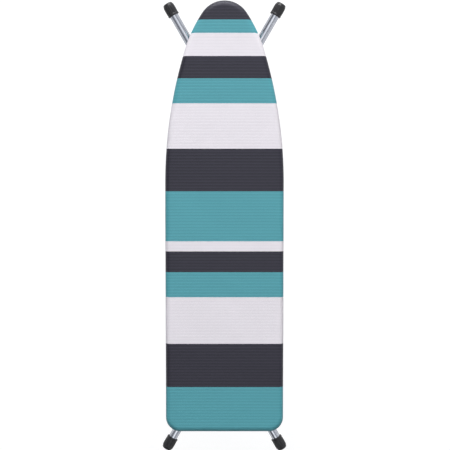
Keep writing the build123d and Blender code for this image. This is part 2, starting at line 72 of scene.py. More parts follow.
# Samples along each straight and each arc of the outline.
LINE_STEPS = 120
ARC_STEPS = 160


def shoulder_geometry():
    """Centres of the nose, shoulder and flank arcs, which meet tangentially."""
    nose = np.array([0.0, NOSE_Y - NOSE_RADIUS])
    toward_nose = np.array([math.sin(NOSE_TURN), math.cos(NOSE_TURN)])
    toward_shoulder = np.array([math.sin(SHOULDER_TURN), math.cos(SHOULDER_TURN)])
    shoulder = nose + toward_nose * (NOSE_RADIUS - SHOULDER_RADIUS)
    left_over = HALF_WIDTH - shoulder[0] - SHOULDER_RADIUS * toward_shoulder[0]
    flank_radius = left_over / (1 - toward_shoulder[0])
    flank = shoulder + toward_shoulder * (SHOULDER_RADIUS - flank_radius)
    return nose, shoulder, flank, flank_radius


def board_outline(count):
    """Points evenly spaced round the outline, with normals, curvature, stations and the whole length."""
    nose, shoulder, flank, flank_radius = shoulder_geometry()
    corner = np.array([HALF_WIDTH - CORNER_RADIUS, TAIL_Y + CORNER_RADIUS])
    point, normal, bend = [], [], []

    def straight(start, end, out):
        for t in np.linspace(0, 1, LINE_STEPS, endpoint=False):
            point.append((1 - t) * np.array(start) + t * np.array(end))
            normal.append(np.array(out, float))
            bend.append(0.0)

    def arc(centre, radius, start, end):
        for a in np.linspace(start, end, ARC_STEPS, endpoint=False):
            out = np.array([math.cos(a), math.sin(a)])
            point.append(centre + radius * out)
            normal.append(out)
            bend.append(1 / radius)

    straight((0, TAIL_Y), (corner[0], TAIL_Y), (0, -1))
    arc(corner, CORNER_RADIUS, -math.pi / 2, 0)
    straight((HALF_WIDTH, corner[1]), (HALF_WIDTH, flank[1]), (1, 0))
    arc(flank, flank_radius, 0, math.pi / 2 - SHOULDER_TURN)
    arc(shoulder, SHOULDER_RADIUS, math.pi / 2 - SHOULDER_TURN, math.pi / 2 - NOSE_TURN)
    arc(nose, NOSE_RADIUS, math.pi / 2 - NOSE_TURN, math.pi / 2)
    point, normal, bend = np.array(point), np.array(normal), np.array(bend)
    flip = np.array([-1, 1])
    point = np.vstack([point, [[0, NOSE_Y]], point[:0:-1] * flip, point[:1]])
    normal = np.vstack([normal, [[0, 1]], normal[:0:-1] * flip, normal[:1]])
    bend = np.concatenate([bend, [1 / NOSE_RADIUS], bend[:0:-1], bend[:1]])
    along = np.concatenate([[0], np.cumsum(np.linalg.norm(np.diff(point, axis=0), axis=1))])
    at = np.linspace(0, along[-1], count, endpoint=False)

    def spread(column):
        return np.interp(at, along, column)

    place = np.stack([spread(point[:, 0]), spread(point[:, 1])], 1)
    out = np.stack([spread(normal[:, 0]), spread(normal[:, 1])], 1)
    out /= np.linalg.norm(out, axis=1, keepdims=True)
    return place, out, spread(bend), at, along[-1]


# Meshes lofted round the outline.
INSIDE = 1
INSIDE_WITH_HOLES = 2
MERGE = 1e-7
ROW_SPACING = 0.87
CAP_STEP = 0.012


def loop_edges(first, count):
    """Edges of a closed loop of points, numbered from its first."""
    return [(first + i, first + (i + 1) % count) for i in range(count)]


def triangulate(flat, edges, field, kind):
    """Spots and triangles that fill the edges, and the points that each spot came from."""
    made = geometry.delaunay_2d_cdt(flat, edges, field, kind, MERGE)
    return np.array([tuple(v) for v in made[0]]), [tuple(f) for f in made[2]], made[3]


def fill_ring(ring, step):
    """Triangles over a ring of points, with a grid of points inside it."""
    xs, ys = ring[:, 0], ring[:, 1]
    centre = ring.mean(0)
    shrink = 1 - step / np.abs(ring - centre).max(0).min()
    inside = polygon_test(np.array([Vector(p) for p in centre + (ring - centre) * shrink]))
    flat = [Vector(p) for p in ring]
    for row, y in enumerate(np.arange(ys.min(), ys.max(), step * ROW_SPACING)):
        shift = step / 2 * (row % 2)
        flat += [Vector((x, y)) for x in np.arange(xs.min() + shift, xs.max(), step) if inside(x, y)]
    return triangulate(flat, loop_edges(0, len(ring)), [], INSIDE)


def fill_round(ring, holes):
    """Triangles between a ring of points and the holes in it."""
    flat = [Vector(p) for p in ring]
    edges = loop_edges(0, len(ring))
    for hole in holes:
        edges += loop_edges(len(flat), len(hole))
        flat += [Vector(p) for p in hole]
    return triangulate(flat, edges, [list(range(len(ring)))], INSIDE_WITH_HOLES)


def facing(triangle, verts, up=True):
    """The triangle, turned to face up or down."""
    a, b, c = (verts[k] for k in triangle)
    faces_up = (b - a).cross(c - a).z > 0
    return tuple(triangle if faces_up == up else triangle[::-1])


def polygon_test(loop):
    """Function that tells whether a point lies inside a closed loop."""
    a, b = loop, np.roll(loop, -1, axis=0)

    def inside(x, y):
        crosses = (a[:, 1] > y) != (b[:, 1] > y)
        rise = np.where(b[:, 1] == a[:, 1], 1, b[:, 1] - a[:, 1])
        reach = a[:, 0] + (y - a[:, 1]) / rise * (b[:, 0] - a[:, 0])
        return bool((crosses & (x < reach)).sum() % 2)

    return inside


def tube_faces(rings, count):
    """Faces between rings of points, each ring with the same count."""
    made = []
    for ring in range(rings - 1):
        for i in range(count):
            a, b = ring * count + i, ring * count + (i + 1) % count
            made.append((b, a, a + count, b + count))
    return made


def add_object(name, verts, faces, smooth=True):
    """Object with a new mesh, in the scene."""
    mesh = bpy.data.meshes.new(name)
    mesh.from_pydata([tuple(map(float, v)) for v in verts], [], faces)
    mesh.polygons.foreach_set("use_smooth", [smooth] * len(mesh.polygons))
    mesh.update()
    made = bpy.data.objects.new(name, mesh)
    bpy.context.collection.objects.link(made)
    return made


def lofted(name, profile, count, move=None, caps=(), closed=False, step=CAP_STEP):
    """Mesh swept round the outline: profile holds (inset, height) pairs, and caps fill its ends."""
    place, out = board_outline(count)[:2]
    verts = []
    for ring, (inset, z) in enumerate(profile):
        flat = place - out * inset
        for i in range(count):
            spot = Vector((flat[i, 0], flat[i, 1], z))
            verts.append(spot + move(i, ring) if move else spot)
    faces = []
    rings = len(profile)
    for ring in range(rings if closed else rings - 1):
        a, b = ring * count, (ring + 1) % rings * count
        for i in range(count):
            j = (i + 1) % count
            faces.append((a + i, b + i, b + j, a + j))
    for ring, up in caps:
        base = np.array([v[:2] for v in verts[ring * count:(ring + 1) * count]])
        z = verts[ring * count].z
        spots, triangles, came_from = fill_ring(base, step)
        index = {}
        for k, origin in enumerate(came_from):
            first = min(origin) if origin else -1
            if 0 <= first < count:
                index[k] = ring * count + first
            else:
                index[k] = len(verts)
                verts.append(Vector((spots[k][0], spots[k][1], z)))
        for triangle in triangles:
            faces.append(facing([index[k] for k in triangle], verts, up))
    return add_object(name, verts, faces)


# Shader graphs.
class Graph:
    """Small helper around one material's nodes."""

    def __init__(self, name, **values):
        self.material = bpy.data.materials.new(name)
        self.material.use_nodes = True
        self.tree = self.material.node_tree
        self.shader = self.tree.nodes["Principled BSDF"]
        for key, value in values.items():
            self.feed(self.shader.inputs[key.replace("_", " ")], value)

    def feed(self, socket, value):
        """Links a socket to another one, or sets its value."""
        if isinstance(value, bpy.types.NodeSocket):
            self.tree.links.new(value, socket)
        else:
            socket.default_value = (*value, 1) if socket.type == "RGBA" else value

    def add(self, kind, inputs=None, **settings):
        node = self.tree.nodes.new(kind)
        for key, value in settings.items():
            setattr(node, key, value)
        for key, value in (inputs or {}).items():
            self.feed(node.inputs[key], value)
        return node

    def math(self, operation, a, b=0.0, c=0.0):
        return self.add("ShaderNodeMath", {0: a, 1: b, 2: c}, operation=operation).outputs[0]

    def mix(self, kind, factor, a, b):
        node = self.add("ShaderNodeMix", data_type="RGBA", blend_type=kind)
        for socket, value in ((0, factor), (6, a), (7, b)):
            self.feed(node.inputs[socket], value)
        return node.outputs[2]

    def grey(self, value):
        return self.add("ShaderNodeCombineColor", {0: value, 1: value, 2: value}).outputs[0]

    def noise(self, vector, scale, detail=3.0, roughness=0.55):
        values = {"Vector": vector, "Scale": scale, "Detail": detail, "Roughness": roughness}
        return self.add("ShaderNodeTexNoise", values).outputs["Fac"]

    def stretch(self, vector, scale):
        return self.add("ShaderNodeMapping", {"Vector": vector, "Scale": scale}).outputs[0]

    def remap(self, value, low, high):
        return self.add("ShaderNodeMapRange", {"Value": value, "To Min": low, "To Max": high}).outputs[0]

    def ramp(self, factor, stops, interpolation="LINEAR"):
        node = self.add("ShaderNodeValToRGB", {"Fac": factor})
        node.color_ramp.interpolation = interpolation
        while len(node.color_ramp.elements) < len(stops):
            node.color_ramp.elements.new(0.5)
        for element, (position, colour) in zip(node.color_ramp.elements, stops):
            element.position = position
            element.color = (*colour, 1)
        return node.outputs["Color"]

    def bump(self, height, strength, distance, normal=None):
        values = {"Height": height, "Strength": strength, "Distance": distance}
        if normal:
            values["Normal"] = normal
        return self.add("ShaderNodeBump", values).outputs["Normal"]

    def link(self, socket, name):
        self.tree.links.new(socket, self.shader.inputs[name])

    @property
    def place(self):
        return self.add("ShaderNodeTexCoord").outputs["Object"]


def linear(*levels):
    """Linear colour from 8-bit display levels."""
    return tuple((v / 255 / 12.92) if v <= 10 else ((v / 255 + 0.055) / 1.055) ** 2.4 for v in levels)


PLAIN_WHITE = (1.0, 1.0, 1.0)
CHARCOAL = linear(34, 31, 42)
TEAL = linear(83, 161, 172)
WHITE = linear(240, 235, 241)
# The three colours follow each other from the nose to the tail, in stripes of these widths.
STRIPE_COLOURS = (CHARCOAL, TEAL, WHITE)
STRIPE_WIDTHS = (
    0.0487, 0.0333, 0.0577, 0.0558, 0.0626, 0.1143, 0.1077,
    0.1272, 0.0259, 0.0530, 0.0643, 0.1199, 0.1119, 0.1177,
)
# How strongly the woven lines show in each colour, and what they are made of.
LINE_STRENGTHS = (1.0, 0.22, 0.04)
RIB_SHARE = 0.4
STREAK_SHARE = 0.45
SLUB_SHARE = 0.15
LINE_SHADE = (0.2, 1.8)
RIB_PITCH = 0.0076
RIB_SWAY = 0.8
THREAD_PITCH = 0.0009
RAGGED_BORDER = 0.0006


def striped_fabric():
    """Ribbed cotton in plain stripes, laid out in the flat cloth's own metres."""
    g = Graph("cover_fabric", Roughness=0.45, Specular_IOR_Level=0.5, Specular_Tint=(0.88, 0.9, 1.0))
    uv = g.add("ShaderNodeTexCoord").outputs["UV"]
    parts = g.add("ShaderNodeSeparateXYZ", {0: uv})
    along = parts.outputs[1]
    ragged = g.noise(g.stretch(uv, (900.0, 60.0, 1.0)), 1.0, 2.0)
    down = g.math("ADD", g.math("SUBTRACT", NOSE_Y, along), g.remap(ragged, -RAGGED_BORDER, RAGGED_BORDER))
    border = STRIPE_WIDTHS[0]
    passed = g.math("GREATER_THAN", down, border)
    for width in STRIPE_WIDTHS[1:-1]:
        border += width
        passed = g.math("ADD", passed, g.math("GREATER_THAN", down, border))
    kinds = len(STRIPE_COLOURS)
    kind = g.math("DIVIDE", g.math("ADD", g.math("MODULO", passed, kinds), 0.5), kinds)
    stripe = g.ramp(kind, [(k / kinds, colour) for k, colour in enumerate(STRIPE_COLOURS)], "CONSTANT")
    levels = [(k / kinds, (level,) * 3) for k, level in enumerate(LINE_STRENGTHS)]
    strength = g.ramp(kind, levels, "CONSTANT")
    sway = g.noise(g.stretch(uv, (1.2, 20.0, 1.0)), 1.0, 2.0)
    phase = g.math("MULTIPLY_ADD", along, 2 * math.pi / RIB_PITCH, g.remap(sway, -RIB_SWAY, RIB_SWAY))
    rib = g.math("MULTIPLY_ADD", g.math("SINE", phase), 0.5, 0.5)
    streak = g.noise(g.stretch(uv, (1.0, 230.0, 1.0)), 1.0, 3.0, 0.65)
    slub = g.noise(g.stretch(uv, (16.0, 900.0, 1.0)), 1.0, 2.0)
    yarn = g.math("MULTIPLY_ADD", streak, STREAK_SHARE, g.math("MULTIPLY", slub, SLUB_SHARE))
    shade = g.remap(g.math("MULTIPLY_ADD", rib, RIB_SHARE, yarn), *LINE_SHADE)
    lined = g.mix("MULTIPLY", strength, stripe, g.grey(shade))
    cloud = g.remap(g.noise(uv, 9.0, 3.0), 0.95, 1.05)
    g.link(g.mix("MULTIPLY", 1.0, lined, g.grey(cloud)), "Base Color")
    turns = 2 * math.pi / THREAD_PITCH
    weave = g.math(
        "MULTIPLY",
        g.math("SINE", g.math("MULTIPLY", parts.outputs[0], turns)),
        g.math("SINE", g.math("MULTIPLY", along, turns)),
    )
    fine = g.bump(weave, 0.25, 0.0002)
    ribbed = g.bump(g.math("MULTIPLY_ADD", streak, 0.6, rib), 0.25, 0.0004, fine)
    g.link(g.bump(g.noise(uv, 26.0, 3.0), 0.06, 0.0015, ribbed), "Normal")
    return g.material


def felt():
    """Needled felt, with fibres along the board and pale patches."""
    g = Graph("pad_felt", Roughness=0.95, Sheen_Weight=0.3, Specular_IOR_Level=0.2)
    fibre = g.noise(g.stretch(g.place, (90.0, 30.0, 90.0)), 12.0, 5.0, 0.7)
    mottle = g.noise(g.place, 70.0, 4.0)
    tones = [(0.3, linear(168, 163, 152)), (0.5, linear(206, 201, 190)), (0.72, linear(226, 222, 214))]
    tone = g.ramp(fibre, tones)
    patches = g.ramp(mottle, [(0.35, linear(190, 188, 182)), (0.6, PLAIN_WHITE)])
    g.link(g.mix("MULTIPLY", 0.5, tone, patches), "Base Color")
    g.link(g.bump(fibre, 0.8, 0.0008), "Normal")
    return g.material


def woven_tape():
    """Elastic tape with ridges across it."""
    g = Graph("elastic_tape", Roughness=0.8, Sheen_Weight=0.2)
    ridge = g.add("ShaderNodeTexWave", {"Vector": g.place, "Scale": 320.0, "Distortion": 0.6}).outputs["Fac"]
    g.link(g.ramp(ridge, [(0.2, linear(196, 193, 188)), (0.8, linear(230, 228, 224))]), "Base Color")
    g.link(g.bump(ridge, 0.5, 0.0003), "Normal")
    return g.material


def thread():
    """Twisted sewing thread."""
    g = Graph("sewing_thread", Roughness=0.7, Sheen_Weight=0.3)
    twist = g.noise(g.place, 2600.0, 2.0)
    g.link(g.ramp(twist, [(0.3, linear(196, 196, 200)), (0.7, linear(232, 232, 236))]), "Base Color")
    g.link(g.bump(twist, 0.5, 0.0002), "Normal")
    return g.material


def plated_tube():
    """Bright zinc on drawn tube: faint draw lines, soft spots and a few scuffs."""
    g = Graph("plated_tube", Metallic=1.0, Anisotropic=0.35, Specular_Tint=(0.35, 0.36, 0.39))
    lines = g.noise(g.stretch(g.place, (420.0, 6.0, 420.0)), 1.0, 3.0, 0.6)
    spots = g.noise(g.place, 60.0, 4.0)
    scuff = g.noise(g.stretch(g.place, (300.0, 40.0, 300.0)), 1.0, 6.0, 0.75)
    tone = g.ramp(spots, [(0.3, linear(184, 187, 195)), (0.7, linear(202, 204, 210))])
    drawn = g.ramp(lines, [(0.35, linear(205, 207, 214)), (0.6, PLAIN_WHITE)])
    g.link(g.mix("MULTIPLY", 0.35, tone, drawn), "Base Color")
    polish = g.remap(lines, 0.10, 0.19)
    scuffed = g.math("MULTIPLY", g.math("GREATER_THAN", scuff, 0.68), 0.12)
    g.link(g.math("ADD", polish, scuffed), "Roughness")
    g.link(g.bump(lines, 0.06, 0.0004), "Normal")
    return g.material


def sheet_steel(name, dark, light, rough):
    """Zinc plating with a mottled finish."""
    g = Graph(name, Metallic=1.0)
    spangle = g.add("ShaderNodeTexVoronoi", {"Vector": g.place, "Scale": 260.0}).outputs["Distance"]
    cloud = g.noise(g.place, 45.0, 5.0, 0.6)
    fine = g.noise(g.place, 900.0, 3.0)
    tone = g.ramp(cloud, [(0.3, dark), (0.7, light)])
    crystals = g.ramp(spangle, [(0.0, linear(206, 206, 210)), (0.8, PLAIN_WHITE)])
    g.link(g.mix("MULTIPLY", 0.18, tone, crystals), "Base Color")
    g.link(g.remap(fine, rough - 0.07, rough + 0.09), "Roughness")
    g.link(g.bump(g.math("MULTIPLY_ADD", fine, 0.4, cloud), 0.12, 0.0004), "Normal")
    return g.material


def enamel():
    """Grey enamel with a slight peel and a few chips."""
    g = Graph("grey_enamel", Coat_Weight=0.25, Coat_Roughness=0.3)
    peel = g.noise(g.place, 420.0, 3.0)
    cloud = g.noise(g.place, 22.0, 4.0)
    chips = g.noise(g.place, 150.0, 6.0, 0.75)
    tone = g.ramp(cloud, [(0.3, linear(176, 180, 184)), (0.7, linear(196, 199, 203))])
    g.link(g.mix("MIX", g.math("GREATER_THAN", chips, 0.735), tone, linear(120, 118, 116)), "Base Color")
    g.link(g.remap(peel, 0.32, 0.48), "Roughness")
    g.link(g.bump(peel, 0.15, 0.0004), "Normal")
    return g.material


def rubber():
    """Black rubber with a fine grain, duller where it is dusty."""
    g = Graph("foot_rubber", Specular_IOR_Level=0.45)
    grain = g.noise(g.place, 1500.0, 3.0)
    dust = g.noise(g.place, 120.0, 5.0, 0.65)
    g.link(g.ramp(dust, [(0.35, linear(27, 27, 30)), (0.7, linear(38, 38, 42))]), "Base Color")
    g.link(g.remap(dust, 0.36, 0.52), "Roughness")
    g.link(g.bump(grain, 0.35, 0.0003), "Normal")
    return g.material


def moulded(name, dark, light, rough):
    """Moulded plastic with a fine grain."""
    g = Graph(name)
    grain = g.add("ShaderNodeTexVoronoi", {"Vector": g.place, "Scale": 1100.0}).outputs["Distance"]
    cloud = g.noise(g.place, 80.0, 4.0)
    g.link(g.ramp(cloud, [(0.3, dark), (0.7, light)]), "Base Color")
    g.link(g.remap(cloud, rough - 0.06, rough + 0.08), "Roughness")
    g.link(g.bump(grain, 0.2, 0.0002), "Normal")
    return g.material


FLOOR_GLOW = 0.83


def studio_floor():
    """Pale floor that the camera and mirrors see as white, and that still takes a shadow."""
    g = Graph("studio_floor", Roughness=0.9, Specular_IOR_Level=0.1)
    speck = g.noise(g.place, 14.0, 3.0)
    g.link(g.ramp(speck, [(0.3, linear(140, 141, 144)), (0.7, linear(145, 146, 149))]), "Base Color")
    ray = g.add("ShaderNodeLightPath").outputs
    mirrored = g.math("ADD", ray["Is Glossy Ray"], ray["Is Transmission Ray"])
    seen = g.math("MINIMUM", g.math("ADD", ray["Is Camera Ray"], mirrored), 1.0)
    g.feed(g.shader.inputs["Emission Color"], PLAIN_WHITE)
    g.link(g.math("MULTIPLY", seen, FLOOR_GLOW), "Emission Strength")
    return g.material


# Cover: one stretched sheet from the flat top round the edge to the gathered hem underneath.
COVER_POINTS = 640
place, out, bend, at, total = board_outline(COVER_POINTS)
# Gathers of the hem: ranges of their heights, widths and distances apart on a bend and on a straight.
PLEAT_HEIGHT = (0.45, 1.0)
PLEAT_WIDTH = (0.0035, 0.0060)
BEND_STEP = (0.012, 0.020)
STRAIGHT_STEP = (0.022, 0.048)
STRAIGHT_SHARE = 0.35
BENT = 0.3
GATHER_LIMIT = 1.3


def pleats():
    """Stations, heights and widths of the gathers, closer together where the outline bends."""
    made, s = [], 0.0
    while s < total:
        tight = np.interp(s, at, bend) * NOSE_RADIUS
        share = STRAIGHT_SHARE + (1 - STRAIGHT_SHARE) * min(tight, 1.0)
        height = random.uniform(*PLEAT_HEIGHT) * share
        made.append((s, height, random.uniform(*PLEAT_WIDTH)))
        s += random.uniform(*(BEND_STEP if tight > BENT else STRAIGHT_STEP))
    return made


PLEATS = pleats()


def gather_at(s):
    """Height of the gathers at a station along the outline, as a share of a full one."""
    high = 0.0
    for station, height, width in PLEATS:
        off = abs(s - station)
        off = min(off, total - off)
        if off < 4 * width:
            high += height * math.exp(-((off / width) ** 2))
    return min(high, GATHER_LIMIT)


GATHER = np.array([gather_at(s) for s in at])
# Plan lines of the flared tubes that pass under the hem, on the right-hand side.
LEG_LINES = (((0.073, 0.4474), (0.146, 0.5739)), ((0.044, -0.3878), (0.152, -0.5749)))
# Distance from such a line up to which the hem lies flat, and over which it gets free.
LEG_CLEARANCE = 0.014
LEG_MARGIN = 0.018


def room_under(x, y):
    """Room for the hem to hang, from 0 over a leg tube to 1 well clear of it."""
    spot = np.array([abs(x), y])
    near = 1.0
    for start, end in np.array(LEG_LINES):
        run = end - start
        t = min(max((spot - start) @ run / (run @ run), 0), 1)
        near = min(near, np.linalg.norm(spot - start - t * run))
    t = min(max((near - LEG_CLEARANCE) / LEG_MARGIN, 0), 1)
    return t * t * (3 - 2 * t)


ROOM = np.array([room_under(x, y) for x, y in place])
# Ruffle and sag of the casing: over a leg, and what is added where there is room.
RUFFLE = (0.0007, 0.0004)
SAG = (0.0007, 0.0014)
RUFFLE_COARSE = 95
RUFFLE_FINE = 210
FINE_SHARE = 0.6


def hem_wave(s, gather, room):
    """Height of the gathered casing at a station along the outline."""
    ruffle = noise.noise(Vector((s * RUFFLE_COARSE, 3.1, 0)))
    ruffle += FINE_SHARE * noise.noise(Vector((s * RUFFLE_FINE, 7.7, 0)))
    return (RUFFLE[0] + RUFFLE[1] * room) * ruffle - (SAG[0] + SAG[1] * room) * gather


# Rings of the cover: insets on the top, heights on the side, insets under the rim,
# and pairs of inset and rise round the fold of the hem.
TOP_INSETS = (0.034, 0.029, 0.024, 0.020, 0.017)
SIDE_HEIGHTS = (0.0385, 0.0350)
UNDER_INSETS = (0.0070, 0.0100, 0.0130, 0.0160)
CASING = (
    (CASING_START, 0.0004), (0.0200, 0.0), (0.0225, 0.0), (0.0250, 0.0), (0.0268, 0.0004),
    (HEM_INSET, 0.0014), (0.0268, 0.0026), (0.0240, 0.0030), (0.0200, 0.0030),
)
EDGE_RINGS = 11
FOLD_RINGS = 6


def cover_profile():
    """Pairs of inset and height from the top's flat middle to the turned edge of the hem."""
    pairs = [(inset, COVER_TOP) for inset in TOP_INSETS]
    for a in np.radians(np.linspace(90, 0, EDGE_RINGS)):
        pairs.append((EDGE_RADIUS * (1 - math.cos(a)), COVER_TOP - EDGE_RADIUS * (1 - math.sin(a))))
    pairs += [(0.0, z) for z in SIDE_HEIGHTS]
    for a in np.radians(np.linspace(0, 90, FOLD_RINGS)):
        pairs.append((HEM_FOLD * (1 - math.cos(a)), HEM_Z + HEM_FOLD * (1 - math.sin(a))))
    pairs += [(inset, HEM_Z) for inset in UNDER_INSETS]
    casing = len(pairs)
    return pairs + [(inset, HEM_Z + rise) for inset, rise in CASING], casing


COVER_PROFILE, CASING_RING = cover_profile()
FIRST_EDGE = next(k for k, pair in enumerate(COVER_PROFILE) if pair[1] < COVER_TOP)
# How far the cloth departs from the smooth form.
EDGE_SLACK = 0.0002
SIDE_SLACK = 0.0003
SIDE_GATHER = 0.0006
FOLD_GATHER = 0.0004
CASING_SLIDE = 0.0010
SLIDE_SCALE = 120
SLACK_SCALE = 9
SLACK_SCALE_DOWN = 60


def cover_move(i, ring):
    """Small departures of the cloth from the smooth form: slack, tension folds and hem gathers."""
    inset, z = COVER_PROFILE[ring]
    normal = Vector((out[i, 0], out[i, 1], 0))
    slack = noise.noise(Vector((*place[i] * SLACK_SCALE, inset * SLACK_SCALE_DOWN)))
    if z > COVER_TOP - EDGE_RADIUS:
        edge = EDGE_SLACK if ring >= FIRST_EDGE else 0
        return normal * (edge * slack) + Vector((0, 0, -edge * (1 + slack)))
    if z >= HEM_Z + HEM_FOLD:
        low = (COVER_TOP - EDGE_RADIUS - z) / (COVER_TOP - EDGE_RADIUS - HEM_Z)
        return normal * (SIDE_SLACK * (slack - 0.4) + SIDE_GATHER * low * GATHER[i])
    wave = hem_wave(at[i], GATHER[i], ROOM[i])
    if ring < CASING_RING:
        under = min(max((inset - HEM_FOLD) / (CASING_START - HEM_FOLD), 0), 1)
        turn = FOLD_GATHER * max(1 - inset / HEM_FOLD, 0)
        return normal * (turn * GATHER[i]) + Vector((0, 0, under * wave))
    slide = CASING_SLIDE * noise.noise(Vector((at[i] * SLIDE_SCALE, 1.3, 0)))
    return Vector((0, 0, wave)) + normal * slide


def lay_flat(cover):
    """Stores where each point lies on the flat cloth, in metres, as the cover's UV map."""
    reach = [-COVER_PROFILE[FIRST_EDGE - 1][0]]
    for (a, b), (c, d) in zip(COVER_PROFILE[FIRST_EDGE - 1:], COVER_PROFILE[FIRST_EDGE:]):
        reach.append(reach[-1] + math.hypot(c - a, d - b))
    flat = np.array([v.co[:2] for v in cover.data.vertices])
    for ring in range(FIRST_EDGE, len(COVER_PROFILE)):
        first = ring * COVER_POINTS
        flat[first:first + COVER_POINTS] = place + out * reach[ring - FIRST_EDGE + 1]
    layer = cover.data.uv_layers.new(name="flat_cloth")
    corners = np.zeros(len(cover.data.loops), np.int32)
    cover.data.loops.foreach_get("vertex_index", corners)
    layer.data.foreach_set("uv", flat[corners].astype(np.float32).ravel())
    return reach[-1]


cover = lofted("striped_cover", COVER_PROFILE, COVER_POINTS, cover_move, caps=((0, True),))
cover_reach = lay_flat(cover)
smoother = cover.modifiers.new("smooth", "SUBSURF")
smoother.levels = smoother.render_levels = 1
cloth = cover.modifiers.new("cloth", "SOLIDIFY")
cloth.thickness = CLOTH
cloth.offset = -1
cover.data.materials.append(striped_fabric())
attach(cover, "board")
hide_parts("cover")

# Elastic in the fold of the hem, gathered with it.
TAPE_INSETS = (0.0200, 0.0262)
TAPE_BASE = HEM_Z + 0.0011
TAPE_TOP = HEM_Z + 0.0019
TAPE = (
    (TAPE_INSETS[0], TAPE_BASE), (TAPE_INSETS[1], TAPE_BASE),
    (TAPE_INSETS[1], TAPE_TOP), (TAPE_INSETS[0], TAPE_TOP),
)
TAPE_SKIP = 2


def tape_move(i, _):
    """Rise and fall of the tape with the hem round it."""
    k = i * TAPE_SKIP
    return Vector((0, 0, hem_wave(at[k], GATHER[k], ROOM[k])))


tape = lofted("elastic_tape", TAPE, COVER_POINTS // TAPE_SKIP, tape_move, closed=True)
tape.data.materials.append(woven_tape())
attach(tape, "board")
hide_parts("hem_elastic")

# Stitches that close the fold, laid along the outside of the hem.
STITCH_INSET = 0.0192
STITCH_PITCH = 0.0056
STITCH_LENGTH = 0.0040
STITCH_RADIUS = 0.00035
STITCH_LIFT = 0.0001
# Rings of a stitch: where along it, share of its radius, and how far it sinks into the cloth.
STITCH_RINGS = ((0, 0.3, 0.0003), (0.2, 1, 0), (0.8, 1, 0), (1, 0.3, 0.0003))


def stitch_row():
    """Row of short stitches, which dip into the cloth at both ends."""
    verts, faces = [], []
    across = ((-1, 0), (0, 1), (1, 0), (0, -1))
    around = len(across)
    for k in range(int(total / STITCH_PITCH)):
        ends = []
        for s in (k * STITCH_PITCH, k * STITCH_PITCH + STITCH_LENGTH):
            x, y = (np.interp(s, at, place[:, c] - out[:, c] * STITCH_INSET, period=total) for c in (0, 1))
            z = HEM_Z + STITCH_LIFT + hem_wave(s, gather_at(s), np.interp(s, at, ROOM, period=total))
            ends.append(Vector((x, y, z)))
        run = (ends[1] - ends[0]).normalized()
        side = run.cross(Vector((0, 0, 1))).normalized()
        first = len(verts)
        for t, fat, sink in STITCH_RINGS:
            centre = ends[0].lerp(ends[1], t) + Vector((0, 0, sink))
            for a, b in across:
                verts.append(centre + (side * a + Vector((0, 0, b))) * STITCH_RADIUS * fat)
        for ring in range(len(STITCH_RINGS) - 1):
            for c in range(around):
                p, q = first + ring * around + c, first + ring * around + (c + 1) % around
                faces.append((p, q, q + around, p + around))
        faces.append(tuple(reversed(range(first, first + around))))
        faces.append(tuple(range(len(verts) - around, len(verts))))
    return add_object("hem_stitches", verts, faces)


stitches = stitch_row()
stitches.data.materials.append(thread())
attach(stitches, "board")

# Pad: felt that rounds off at its edge and stays clear of the cloth.
PAD_SINK = 0.0003
COVER_ROOM = 0.0014
PAD_BASE = DECK_Z + DECK_SHEET
PAD_FACE = PAD_TOP - PAD_SINK
PAD_ROUND = EDGE_RADIUS - COVER_ROOM
PAD_POINTS = 320
PAD_STEP = 0.016
PAD_INSET = 0.0018
PAD_FLAT = 0.0240
PAD_FOOT = (0.0030, 0.0060, PAD_FLAT)


def pad_profile():
    """Pairs of inset and height from the flat top round the edge to the flat base."""
    pairs = [(PAD_FLAT, PAD_FACE)]
    for a in np.radians((90, 78, 66, 54, 42, 30)):
        pairs.append((PAD_INSET + PAD_ROUND * (1 - math.cos(a)), PAD_FACE - PAD_ROUND * (1 - math.sin(a))))
    return pairs + [(inset, PAD_BASE) for inset in PAD_FOOT]


PAD_PROFILE = pad_profile()
PAD_CAPS = ((0, True), (len(PAD_PROFILE) - 1, False))
pad = lofted("felt_pad", PAD_PROFILE, PAD_POINTS, caps=PAD_CAPS, step=PAD_STEP)
pad.data.materials.append(felt())
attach(pad, "board")
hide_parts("pad")

# Deck: expanded steel, with twice as many diamonds each way as the solid.
MESH_X = 0.018
MESH_Y = 0.033
STRAND = 0.0030
MESH_MARGIN = 0.0215
MESH_ROWS = 40
MESH_COLUMNS = 12
DECK_INSET = 0.0016


def expanded_deck():
    """Flat sheet with rows of diamond holes, each row shifted by half a diamond."""
    edge = place[::2] - out[::2] * DECK_INSET
    field = polygon_test(place - out * MESH_MARGIN)
    half_x = (MESH_X - STRAND) / 2
    half_y = half_x * MESH_Y / MESH_X
    middle = (TAIL_Y + NOSE_Y) / 2
    holes = []
    for row in range(-MESH_ROWS, MESH_ROWS + 1):
        for column in range(-MESH_COLUMNS, MESH_COLUMNS + 1):
            x, y = column * MESH_X + MESH_X / 2 * (row % 2), middle + row * MESH_Y / 2
            hole = [(x + half_x, y), (x, y + half_y), (x - half_x, y), (x, y - half_y)]
            if all(field(*corner) for corner in hole):
                holes.append(hole)
    spots, triangles, _ = fill_round(edge, holes)
    verts = [Vector((x, y, DECK_Z + DECK_SHEET)) for x, y in spots]
    return add_object("expanded_deck", verts, [facing(t, verts) for t in triangles], smooth=False)


deck = expanded_deck()
sheet = deck.modifiers.new("sheet", "SOLIDIFY")
sheet.thickness = DECK_SHEET
sheet.offset = -1
GREY = enamel()
deck.data.materials.append(GREY)
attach(deck, "board")
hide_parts("deck_mesh")

# Rubber feet: ribbed ferrules with a collar, a rounded end and two rings in the sole.
FLARE = math.radians(30)
LEG_Z = 0.0145
FOOT_RIBS = 14
RIB_GROOVE = 0.0011
BORE = 0.01106
FOOT_ROUND = 0.0054
FOOT_FLAT = 0.0074
